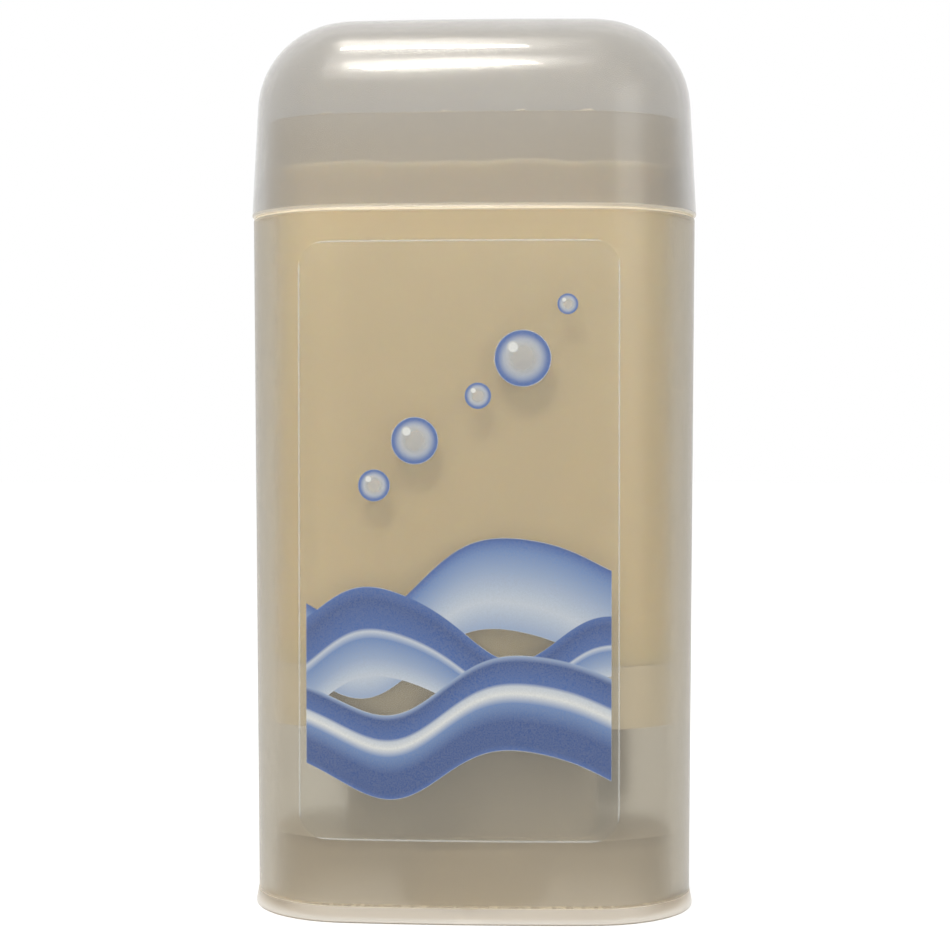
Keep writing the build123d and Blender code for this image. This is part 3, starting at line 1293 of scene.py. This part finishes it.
def front_waves() -> tuple[Wave, ...]:
    """The wave bands of the front label, from the back of the pile to the front."""
    ink = InkTone
    far = band_tones(
        [(0.0, ink.SKY), (0.3, ink.PALE), (0.62, ink.SKY)]
        + [(0.86, ink.MID), (0.97, ink.ROYAL), (1.0, ink.DEEP)]
    )
    mid = band_tones(
        [(0.0, ink.PALE), (0.2, ink.SKY), (0.42, ink.MID), (0.5, ink.PALE)]
        + [(0.54, ink.ROYAL), (0.85, ink.DEEP), (1.0, ink.ROYAL)]
    )
    near = band_tones(
        [(0.0, ink.ROYAL), (0.06, ink.DEEP), (0.3, ink.DEEP), (0.5, ink.MID)]
        + [(0.6, ink.WHITE), (0.68, ink.PALE), (0.72, ink.ROYAL), (0.94, ink.DEEP), (1.0, ink.SKY)]
    )
    return (
        Wave(-8.0, 0.10, 3.4, 31.0, 0.10, 4.6, 0.05, far),
        Wave(-13.0, -0.06, 3.0, 26.0, 0.55, 4.2, -0.06, mid),
        Wave(-20.0, 0.05, 2.6, 29.0, 0.02, 4.8, 0.04, near),
    )


@dataclass
class Labels:
    """The pair of film labels."""

    form: PackForm

    def build(self) -> list[bpy.types.Object]:
        """Builds the front and back labels.

        Returns:
            Both labels.
        """
        front, back = Extent.of("front_label"), Extent.of("back_label")
        bubbles = ((-9.0, 6.0, 1.7), (-4.6, 10.8, 2.5), (2.2, 15.6, 1.4), (7.0, 19.6, 3.0), (11.8, 25.4, 1.1))
        print_front = PrintedFilm(
            "front_print",
            centre_x=front.middle[0],
            centre_z=front.middle[2],
            width=front.size[0],
            height=front.size[2],
            backing=0.035,
            waves=front_waves(),
            bubbles=bubbles,
        )
        rules = tuple(
            (-1.0 - 0.5 * (row % 3), 26.0 - 3.1 * row, 13.5 - 0.5 * (row % 3), 0.28) for row in range(11)
        )
        print_back = PrintedFilm(
            "back_print",
            centre_x=back.middle[0],
            centre_z=back.middle[2],
            width=back.size[0],
            height=back.size[2],
            backing=0.85,
            waves=front_waves()[1:],
            rules=rules,
        )
        return [
            FilmLabel(self.form, "front_label", -1, print_front).build(),
            FilmLabel(self.form, "back_label", 1, print_back).build(),
        ]


@dataclass
class InnerWorks:
    """The CAD pieces that keep their own shape: base, dial and carrier."""

    base: FrostedPlastic = field(
        default_factory=lambda: FrostedPlastic(
            "frosted_base",
            clear=(1.0, 1.0, 1.0),
            milk=srgb(224, 216, 202),
            bloom=0.45,
            blur=0.28,
            polish=0.3,
            skin=0.25,
            depth_tint=(0.87, 0.84, 0.79),
            tint_depth=1.2,
            bands=((-1.0, Extent.of("barrel").low[2], -0.37),),

        )
    )
    dial: MilkyPlastic = MilkyPlastic("dial_plastic", srgb(226, 223, 214))
    carrier: MilkyPlastic = MilkyPlastic("carrier_plastic", srgb(232, 222, 200))

    def build(self) -> None:
        """Gives each CAD node its material."""
        for node, finish in (("base", self.base), ("dial", self.dial), ("carrier", self.carrier)):
            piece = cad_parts[node]
            piece.data.materials.clear()
            piece.data.materials.append(finish.make())
            LOG.info("%s: dressed with %s", node, finish.name)


# ------------------------------------------------------------------- stage


class LampKind(Enum):
    """What each lamp is for, with its light's colour."""

    KEY = (1.0, 0.985, 0.96)
    FILL = (0.97, 0.985, 1.0)
    STRIP = (1.0, 0.96, 0.88)


@dataclass(frozen=True)
class Softbox:
    """A rectangular lamp that faces a point.

    Attributes:
        name: the lamp's name.
        kind: what it is for.
        place: its centre.
        size: its width and length.
        watts: its power.
        target: the point that it faces.
        mirrored: whether it shows in shiny skins.
        turn: how far it is turned about its own axis, in degrees.
    """

    name: str
    kind: LampKind
    place: Colour
    size: tuple[float, float]
    watts: float
    target: Colour = (0.0, 0.0, 50.0)
    mirrored: bool = False
    turn: float = 0.0

    def build(self) -> None:
        """Adds the lamp."""
        data = bpy.data.lights.new(self.name, "AREA")
        data.shape = "RECTANGLE"
        data.size, data.size_y = self.size[0] * MM, self.size[1] * MM
        data.energy, data.color = self.watts, self.kind.value
        lamp = bpy.data.objects.new(self.name, data)
        lamp.visible_glossy = self.mirrored
        lamp.location = Vector(self.place) * MM
        aim = (Vector(self.target) - Vector(self.place)).to_track_quat("-Z", "Y")
        lamp.rotation_euler = (aim @ Quaternion((0.0, 0.0, 1.0), np.radians(self.turn))).to_euler()
        bpy.context.scene.collection.objects.link(lamp)


@dataclass(frozen=True)
class Studio:
    """Pale floor, white surroundings, soft lamps and the camera.

    Attributes:
        eye_height: height of the camera.
        distance: of the camera from the pack's middle.
        azimuth: how far the camera stands to the right of straight ahead, in degrees.
        look_down: how far the camera tips down, in degrees.
        view_width: width of the view at the pack's middle.
        aim_x: where the camera's axis passes the pack's middle.
        surround: strength of the soft light from all sides.
        floor_half: half the side of the floor.
        floor_glow: strength of the floor's own white, which makes up for its matt share.
        crown: where the strip lamps aim, high on the front of the cap.
    """

    eye_height: float = 50.9
    distance: float = 227.0
    azimuth: float = 3.0
    look_down: float = 0.66
    view_width: float = 107.5
    aim_x: float = 0.15
    surround: float = 0.7
    floor_half: float = 3000.0
    floor_glow: float = 1.17
    crown: Colour = (-5.0, -10.0, 95.0)

    def build(self) -> None:
        """Builds the whole stage."""
        self.build_world()
        self.build_floor()
        key, fill, strip = LampKind.KEY, LampKind.FILL, LampKind.STRIP
        high, low = (-54.0, -92.0, 495.0), (-38.0, -265.0, 395.0)
        top = (0.0, 0.0, 80.0)
        for lamp in (
            Softbox("key_lamp", key, (-120.0, -240.0, 430.0), (260.0, 260.0), 0.76, top),
            Softbox("fill_lamp", fill, (420.0, -380.0, 160.0), (300.0, 300.0), 0.35),
            Softbox("high_strip_lamp", strip, high, (124.0, 27.0), 0.45, self.crown, True, 24.0),
            Softbox("low_strip_lamp", strip, low, (116.0, 27.0), 0.45, self.crown, True, 24.0),
        ):
            lamp.build()
        self.build_camera()
        bpy.context.scene.view_settings.view_transform = "Standard"

    def build_world(self) -> None:
        """White for what is looked at, in glass or straight, and a softer level for the light it sheds."""
        world = bpy.data.worlds.new("white_surround")
        world.use_nodes = True
        tree = world.node_tree
        tree.nodes.clear()
        path = tree.nodes.new("ShaderNodeLightPath")
        seen = tree.nodes.new("ShaderNodeBackground")
        shed = tree.nodes.new("ShaderNodeBackground")
        seen.inputs["Strength"].default_value = 1.0
        seen.inputs["Color"].default_value = (1.0, 1.0, 1.0, 1.0)
        shed.inputs["Strength"].default_value = self.surround
        shed.inputs["Color"].default_value = (1.0, 0.995, 0.985, 1.0)
        looked_at = path.outputs["Is Camera Ray"]
        for name in ("Is Glossy Ray", "Is Transmission Ray"):
            either = tree.nodes.new("ShaderNodeMath")
            either.operation = "MAXIMUM"
            tree.links.new(looked_at, either.inputs[0])
            tree.links.new(path.outputs[name], either.inputs[1])
            looked_at = either.outputs[0]
        mix = tree.nodes.new("ShaderNodeMixShader")
        output = tree.nodes.new("ShaderNodeOutputWorld")
        tree.links.new(looked_at, mix.inputs[0])
        tree.links.new(shed.outputs[0], mix.inputs[1])
        tree.links.new(seen.outputs[0], mix.inputs[2])
        tree.links.new(mix.outputs[0], output.inputs[0])
        bpy.context.scene.world = world

    def build_floor(self) -> None:
        """A white floor that keeps part of the pack's shadow."""
        half = self.floor_half
        corners = np.array([(-half, -half, 0), (half, -half, 0), (half, half, 0), (-half, half, 0)], float)
        mesh = bpy.data.meshes.new("floor")
        mesh.from_pydata((corners * MM).tolist(), [], [(0, 1, 2, 3)])
        floor = bpy.data.objects.new("floor", mesh)
        bpy.context.scene.collection.objects.link(floor)
        graph = Graph("pale_floor")
        matt = graph.shader("ShaderNodeBsdfDiffuse", Color=(0.9, 0.9, 0.9))
        white = graph.shader("ShaderNodeEmission", Color=(1.0, 1.0, 1.0), Strength=self.floor_glow)
        path = graph.add("ShaderNodeLightPath")
        looked_at = Signal(graph, path.outputs["Is Camera Ray"])
        looked_at = looked_at.larger(Signal(graph, path.outputs["Is Glossy Ray"]))
        looked_at = looked_at.larger(Signal(graph, path.outputs["Is Transmission Ray"]))
        mesh.materials.append(graph.finish(graph.mix_shader(looked_at * 0.72, matt, white)))

    def build_camera(self) -> None:
        """Places the camera and makes it the scene's own."""
        data = bpy.data.cameras.new("camera")
        data.sensor_width = 36.0
        data.lens = data.sensor_width * self.distance / self.view_width
        data.clip_start, data.clip_end = 0.01, 20.0
        camera = bpy.data.objects.new("camera", data)
        turn, dip = np.radians(self.azimuth), np.radians(self.look_down)
        place = Vector((self.distance * np.sin(turn), -self.distance * np.cos(turn), self.eye_height))
        aim = Vector((self.aim_x, 0.0, self.eye_height - self.distance * np.tan(dip)))
        camera.location = place * MM
        camera.rotation_euler = (aim - place).to_track_quat("-Z", "Y").to_euler()
        bpy.context.scene.collection.objects.link(camera)
        bpy.context.scene.camera = camera


def main() -> None:
    """Builds every piece, then the stage."""
    logging.basicConfig(level=logging.INFO, format="%(name)s %(message)s")
    form = PackForm.read()
    shell = Shell(form)
    shell.build_cap()
    shell.build_barrel()
    GelStick(form).build()
    FeedScrew().build()
    Labels(form).build()
    InnerWorks().build()
    Studio().build()


if __name__ == "__main__":
    main()
